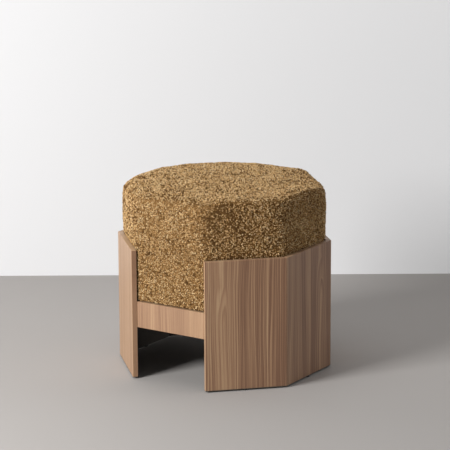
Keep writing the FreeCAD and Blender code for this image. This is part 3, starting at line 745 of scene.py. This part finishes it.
wadding_finish, tree, shader = new_finish("wadding")
place = add(tree, "ShaderNodeTexCoord").outputs["Object"]
fluff = add(tree, "ShaderNodeTexNoise", {"Vector": place, "Scale": 260, "Detail": 6}).outputs["Fac"]
white = tint(tree, between(tree, fluff, 0.35, 0.65), WADDING_SHADE, WADDING_WHITE)
tree.links.new(white, shader.inputs["Base Color"])
shader.inputs["Roughness"].default_value = 1.0
emboss(tree, shader, fluff, 0.6, 0.001)
wadding.data.materials.clear()
wadding.data.materials.append(wadding_finish)
bpy.ops.object.shade_smooth()
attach(wadding, "seat")
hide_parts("wadding")

# Looped cover: one padded form of curly cloth over the wadding, sewn at the corners, pulled
# down and stapled under the base board. Its dark ground shows between the loops.
COVER_THICKNESS = 0.003
COVER_BOTTOM = WADDING_BOTTOM - COVER_THICKNESS
LUMP_SIZE = 0.085
LUMP_HEIGHT = 0.0018
GROUND_DARK = (0.120, 0.058, 0.018, 1)
GROUND_TAN = (0.300, 0.165, 0.059, 1)

bpy.ops.object.select_all(action="DESELECT")
cover = bpy.data.objects.new("looped_cover", wadding.data.copy())
bpy.context.scene.collection.objects.link(cover)
cover.select_set(True)
bpy.context.view_layer.objects.active = cover
apply(cover, "thickness", "DISPLACE", strength=COVER_THICKNESS, mid_level=0.0)
lumps = bpy.data.textures.new("padding_lumps", "CLOUDS")
lumps.noise_scale = LUMP_SIZE
lumps.noise_depth = 1
loose = cover.vertex_groups.new(name="loose")
for point in cover.data.vertices:
    loose.add([point.index], ease(point.co.z, CASE_TOP, FREE_HEIGHT), "ADD")
apply(
    cover,
    "uneven",
    "DISPLACE",
    texture=lumps,
    strength=LUMP_HEIGHT,
    mid_level=0.5,
    vertex_group="loose",
)
cover.vertex_groups.clear()

ground, tree, shader = new_finish("looped_cloth_ground")
place = add(tree, "ShaderNodeTexCoord").outputs["Object"]
threads = add(tree, "ShaderNodeTexNoise", {"Vector": place, "Scale": 480, "Detail": 4}).outputs["Fac"]
knit = tint(tree, between(tree, threads, 0.4, 0.66), GROUND_DARK, GROUND_TAN)
tree.links.new(knit, shader.inputs["Base Color"])
shader.inputs["Roughness"].default_value = 0.95
shader.inputs["Specular IOR Level"].default_value = 0.1
cover.data.materials.clear()
cover.data.materials.append(ground)
bpy.ops.object.shade_smooth()
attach(cover, "seat")
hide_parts("seat_cover")

# Loops of the cover: curls of a soft golden-brown yarn, standing close together all over
# the cloth. One piece of them for each facet with its slice of the top.
YARN_ROOT_SHADE = (0.370, 0.208, 0.075, 1)
YARN_DARK = (0.145, 0.070, 0.021, 1)
YARN_DEEP = (0.535, 0.320, 0.125, 1)
YARN_TAN = (0.720, 0.478, 0.226, 1)
YARN_CREAM = (0.850, 0.648, 0.372, 1)
YARN_RADIUS = 0.00077
LOOP_SPACING = 0.0028
STRAY_SPACING = 0.0078
STRAY_START = CASE_TOP + 0.012
LOOP_DENSITY = 200000.0
LOOP_SIZES = (0.72, 1.38)
LOOP_LEAN = 0.5
# The slope of the cloth at the seam round the top, its half width, and its press on the loops
SEAM_SLOPE = 0.62
SEAM_CORE = 0.05
SEAM_WIDTH = 0.12
SEAM_PRESS = 0.5
LOOP_SIDES = 3
LOOP_STEPS = 5
LOOP_ROOM = 0.2177
LOOP_FLOOR = 0.1812
# Room round each loop in the layout for baking, and how much of it the loop takes
CELL_MARGIN = 0.06
CELL_SPAN = 0.88
# What patches of cloth, single loops and their fibres add to the tone
PATCH_WEIGHT = 0.60
LOOP_WEIGHT = 0.80
FIBRE_WEIGHT = 0.35
TONE_SHIFT = -0.23
# Painted light and shade on each facet's cloth: how much paler or deeper its loops are made, at its left
# end and at its right end
FACET_PAINTED_LIGHT = {
    "front": (0.04, -0.02),
    "front_right": (-0.22, 0.06),
    "right": (0.05, 0.14),
    "back_right": (0.03, 0.03),
    "back": (0.0, 0.0),
    "back_left": (-0.02, -0.02),
    "left": (0.0, 0.0),
    "front_left": (-0.13, -0.13),
}
FACET_HALF = 0.09
# Radius of the curl, how far it goes round, squeeze across, tilt and rise out of the cloth.
# The last one is the stray, which stands out of the others above the case
CURLS = [
    (0.0013, 320, 0.85, 34, 0.00065),
    (0.0011, 330, 0.95, 50, 0.00075),
    (0.00155, 290, 0.78, 22, 0.00075),
    (0.0010, 310, 1.00, 60, 0.00085),
    (0.0014, 330, 0.75, 75, 0.0013),
]

curl_box = bpy.data.collections.new("curls")
bpy.context.scene.collection.children.link(curl_box)
for number, (radius, round_it, squeeze, tilt, rise) in enumerate(CURLS):
    bpy.ops.object.select_all(action="DESELECT")
    bpy.ops.mesh.primitive_circle_add(
        vertices=LOOP_SIDES, radius=YARN_RADIUS, location=(radius, 0, 0), rotation=(math.pi / 2, 0, 0)
    )
    curl = bpy.context.object
    curl.name = f"curl_{number}"
    bpy.ops.object.transform_apply(location=True, rotation=True, scale=True)
    bpy.ops.object.mode_set(mode="EDIT")
    bpy.ops.mesh.select_all(action="SELECT")
    bpy.ops.mesh.spin(steps=LOOP_STEPS, angle=math.radians(round_it), center=(0, 0, 0), axis=(0, 0, 1))
    bpy.ops.mesh.select_all(action="SELECT")
    bpy.ops.mesh.fill_holes(sides=LOOP_SIDES)
    bpy.ops.mesh.normals_make_consistent(inside=False)
    bpy.ops.transform.resize(value=(1, squeeze, 1), center_override=(0, 0, 0))
    bpy.ops.transform.rotate(value=math.radians(tilt), orient_axis="X", center_override=(0, 0, 0))
    bpy.ops.transform.translate(value=(0, 0, rise))
    bpy.ops.object.mode_set(mode="OBJECT")
    bpy.ops.object.shade_smooth()
    heights = [p.co.z for p in curl.data.vertices]
    lift = curl.data.attributes.new("lift", "FLOAT", "POINT")
    for item, height in zip(lift.data, heights):
        item.value = (height - min(heights)) / (max(heights) - min(heights))
    # Each curl is laid out flat for baking: along its length, and round the yarn
    layout = curl.data.uv_layers.new(name="OFBake")
    for face in curl.data.polygons:
        ring = [i // LOOP_SIDES for i in face.vertices]
        side = [i % LOOP_SIDES for i in face.vertices]
        wraps = 0 in side and LOOP_SIDES - 1 in side
        for corner, r, k in zip(face.loop_indices, ring, side):
            if len(ring) == LOOP_SIDES:
                spot = (0.03 * (k == 1) if r == 0 else 1 - 0.03 * (k == 1), 0.2 + 0.3 * k)
            else:
                turn = LOOP_SIDES if wraps and k == 0 else k
                spot = (CELL_MARGIN + CELL_SPAN * r / LOOP_STEPS, turn / LOOP_SIDES)
            layout.data[corner].uv = spot
    for owner in list(curl.users_collection):
        owner.objects.unlink(curl)
    curl_box.objects.link(curl)

yarn, tree, shader = new_finish("looped_yarn")
tone = add(tree, "ShaderNodeAttribute", attribute_name="tone").outputs["Fac"]
lift = add(tree, "ShaderNodeAttribute", attribute_name="lift").outputs["Fac"]
place = add(tree, "ShaderNodeTexCoord").outputs["Object"]
patch = add(tree, "ShaderNodeTexNoise", {"Vector": place, "Scale": 24, "Detail": 3}).outputs["Fac"]
fibre = add(tree, "ShaderNodeTexNoise", {"Vector": place, "Scale": 1400, "Detail": 2}).outputs["Fac"]
shade = calc(tree, "MULTIPLY_ADD", tone, LOOP_WEIGHT, TONE_SHIFT)
shade = calc(tree, "MULTIPLY_ADD", patch, PATCH_WEIGHT, shade)
shade = weighed(tree, fibre, FIBRE_WEIGHT, shade)
wool = colours(
    tree, shade, (0.17, YARN_DARK), (0.95, YARN_CREAM), (0.27, YARN_DEEP), (0.58, YARN_TAN)
)
# Painted shade: each curl is darker towards its root, near the cloth
depth = between(tree, lift, 0.0, 0.35)
tree.links.new(tint(tree, depth, YARN_ROOT_SHADE, wool), shader.inputs["Base Color"])
shader.inputs["Roughness"].default_value = 0.8
shader.inputs["Specular IOR Level"].default_value = 0.2


def random_value(tree, kind, low, high, seed):
    """A value drawn for each loop."""
    first = {"FLOAT_VECTOR": 0, "FLOAT": 2, "INT": 4}[kind]
    drawn = add(tree, "FunctionNodeRandomValue", {first: low, first + 1: high, 8: seed}, data_type=kind)
    return drawn.outputs[first // 2]


def scatter(seed, middle, facet_light):
    """Nodes that stand curls all over a mesh and keep each one's number and tone."""
    tree = bpy.data.node_groups.new(f"loops_{seed}", "GeometryNodeTree")
    tree.interface.new_socket("Geometry", in_out="INPUT", socket_type="NodeSocketGeometry")
    tree.interface.new_socket("Geometry", in_out="OUTPUT", socket_type="NodeSocketGeometry")
    cloth = add(tree, "NodeGroupInput").outputs[0]
    library = add(tree, "GeometryNodeCollectionInfo", {0: curl_box, 1: True, 2: True})
    least, most = (-LOOP_LEAN, -LOOP_LEAN, 0), (LOOP_LEAN, LOOP_LEAN, 2 * math.pi)
    lean = random_value(tree, "FLOAT_VECTOR", least, most, seed + 10)
    lean = add(tree, "FunctionNodeEulerToRotation", {0: lean}).outputs[0]
    spot = add(tree, "GeometryNodeInputPosition").outputs[0]
    height = add(tree, "ShaderNodeSeparateXYZ", {0: spot})
    above = calc(tree, "GREATER_THAN", height.outputs[2], STRAY_START)
    stray = len(CURLS) - 1
    usual = random_value(tree, "INT", 0, stray - 1, seed + 20)
    rightward = (math.cos(middle), math.sin(middle), 0)
    along = add(tree, "ShaderNodeVectorMath", {0: spot, 1: rightward}, operation="DOT_PRODUCT")
    painted_light = between(tree, along.outputs["Value"], -FACET_HALF, FACET_HALF, *facet_light)
    both = add(tree, "GeometryNodeJoinGeometry")
    for spacing, selection, kind in (
        (STRAY_SPACING, above, stray),
        (LOOP_SPACING, True, usual),
    ):
        spots = add(
            tree,
            "GeometryNodeDistributePointsOnFaces",
            {
                "Mesh": cloth,
                "Selection": selection,
                "Distance Min": spacing,
                "Density Max": LOOP_DENSITY,
                "Seed": seed,
            },
            distribute_method="POISSON",
        )
        way = add(
            tree,
            "FunctionNodeRotateRotation",
            {0: spots.outputs["Rotation"], 1: lean},
            rotation_space="LOCAL",
        )
        # The seam round the top presses the loops down
        slope = add(tree, "ShaderNodeSeparateXYZ", {0: spots.outputs["Normal"]}).outputs[2]
        seam = calc(
            tree,
            "MULTIPLY",
            between(tree, slope, SEAM_SLOPE - SEAM_WIDTH, SEAM_SLOPE - SEAM_CORE),
            between(tree, slope, SEAM_SLOPE + SEAM_CORE, SEAM_SLOPE + SEAM_WIDTH, 1.0, 0.0),
        )
        size = random_value(tree, "FLOAT", *LOOP_SIZES, seed + 30)
        size = calc(tree, "MULTIPLY", size, between(tree, seam, 0.0, 1.0, 1.0, SEAM_PRESS))
        tone = random_value(tree, "FLOAT", 0.0, 1.0, seed + 40)
        # The facet's painted light and shade shift the tone, and the top has none
        tone = calc(tree, "ADD", tone, between(tree, slope, 0.3, 0.7, painted_light, 0.0))
        toned = add(
            tree,
            "GeometryNodeStoreNamedAttribute",
            {"Geometry": spots.outputs["Points"], "Name": "tone", "Value": tone},
            data_type="FLOAT",
            domain="POINT",
        )
        stood = add(
            tree,
            "GeometryNodeInstanceOnPoints",
            {
                "Points": toned.outputs[0],
                "Instance": library.outputs[0],
                "Pick Instance": True,
                "Instance Index": kind,
                "Rotation": way.outputs[0],
                "Scale": size,
            },
        ).outputs[0]
        tree.links.new(stood, both.inputs[0])
    number = add(tree, "GeometryNodeInputIndex").outputs[0]
    numbered = add(
        tree,
        "GeometryNodeStoreNamedAttribute",
        {"Geometry": both.outputs[0], "Name": "cell", "Value": number},
        data_type="FLOAT",
        domain="INSTANCE",
    )
    loops = add(tree, "GeometryNodeRealizeInstances", {0: numbered.outputs[0]}).outputs[0]
    dyed = add(tree, "GeometryNodeSetMaterial", {0: loops, 2: yarn}).outputs[0]
    add(tree, "NodeGroupOutput", {0: dyed})
    return tree


for facet, (name, facet_light) in enumerate(FACET_PAINTED_LIGHT.items()):
    middle = facet * TURN
    bpy.ops.object.select_all(action="DESELECT")
    loops = bpy.data.objects.new(f"{name}_loops", cover.data.copy())
    bpy.context.scene.collection.objects.link(loops)
    loops.select_set(True)
    bpy.context.view_layer.objects.active = loops

    def elsewhere(points):
        spot = sum(points, Vector()) / len(points)
        off = (math.atan2(spot.x, -spot.y) - middle + math.pi) % (2 * math.pi) - math.pi
        return abs(off) > TURN / 2 or spot.z < COVER_BOTTOM + 0.002

    pick(loops, "FACE", elsewhere)
    bpy.ops.mesh.delete(type="FACE")
    bpy.ops.object.mode_set(mode="OBJECT")
    stand = loops.modifiers.new("stand", "NODES")
    stand.node_group = scatter(facet + 1, middle, facet_light)
    bpy.ops.object.modifier_apply(modifier=stand.name)
    mesh = loops.data
    cells = [item.value for item in mesh.attributes["cell"].data]
    across = math.ceil(math.sqrt(max(cells) + 1))
    layout = mesh.uv_layers["OFBake"].data
    for corner in mesh.loops:
        cell = round(cells[corner.vertex_index])
        spot = layout[corner.index].uv
        layout[corner.index].uv = (
            (cell % across + CELL_MARGIN + CELL_SPAN * spot[0]) / across,
            (cell // across + CELL_MARGIN + CELL_SPAN * spot[1]) / across,
        )
    mesh.attributes.remove(mesh.attributes["cell"])
    # The case and the deck press in the few loops that would reach them
    for point in mesh.vertices:
        if point.co.z < CASE_TOP:
            press = min(1.0, LOOP_ROOM / facet_reach(point.co))
            point.co.x *= press
            point.co.y *= press
            point.co.z = max(point.co.z, LOOP_FLOOR)
    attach(loops, "seat")
for curl in list(curl_box.objects):
    bpy.data.objects.remove(curl)
bpy.data.collections.remove(curl_box)

# Dust cover: a thin black non-woven cloth stretched over the underside of the seat and
# stapled round its edge, over the cover's hem.
DUST_RADIUS = 0.2025
DUST_LEVEL = 0.1820
DUST_THICKNESS = 0.0004
DUST_CUTS = 11
SLACK_SIZE = 0.07
SLACK_DEPTH = 0.0005
DUST_BLACK = (0.020, 0.020, 0.022, 1)
DUST_GREY = (0.055, 0.055, 0.058, 1)

bpy.ops.object.select_all(action="DESELECT")
bpy.ops.mesh.primitive_circle_add(
    vertices=8,
    radius=DUST_RADIUS / math.cos(TURN / 2),
    fill_type="TRIFAN",
    location=(0, 0, DUST_LEVEL),
    rotation=(0, 0, TURN / 2),
)
dust_cover = bpy.context.object
dust_cover.name = "dust_cover_cloth"
bpy.ops.object.transform_apply(location=True, rotation=True, scale=True)
bpy.ops.object.mode_set(mode="EDIT")
bpy.ops.mesh.select_all(action="SELECT")
bpy.ops.mesh.subdivide(number_cuts=DUST_CUTS)
bpy.ops.object.mode_set(mode="OBJECT")
slack = bpy.data.textures.new("slack", "CLOUDS")
slack.noise_scale = SLACK_SIZE
apply(
    dust_cover,
    "slack",
    "DISPLACE",
    texture=slack,
    strength=SLACK_DEPTH,
    mid_level=1.0,
    direction="Z",
)
apply(dust_cover, "cloth", "SOLIDIFY", thickness=DUST_THICKNESS, offset=0)
dust_finish, tree, shader = new_finish("non_woven_cloth")
place = add(tree, "ShaderNodeTexCoord").outputs["Object"]
felt = add(tree, "ShaderNodeTexNoise", {"Vector": place, "Scale": 700, "Detail": 5}).outputs["Fac"]
dots = add(tree, "ShaderNodeTexVoronoi", {"Vector": place, "Scale": 420}).outputs["Distance"]
black = tint(tree, between(tree, felt, 0.42, 0.66), DUST_BLACK, DUST_GREY)
tree.links.new(black, shader.inputs["Base Color"])
shader.inputs["Roughness"].default_value = 0.85
emboss(tree, shader, dots, 0.4, 0.0002)
dust_cover.data.materials.append(dust_finish)
bpy.ops.object.shade_smooth()
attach(dust_cover, "seat")
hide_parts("dust_cover")
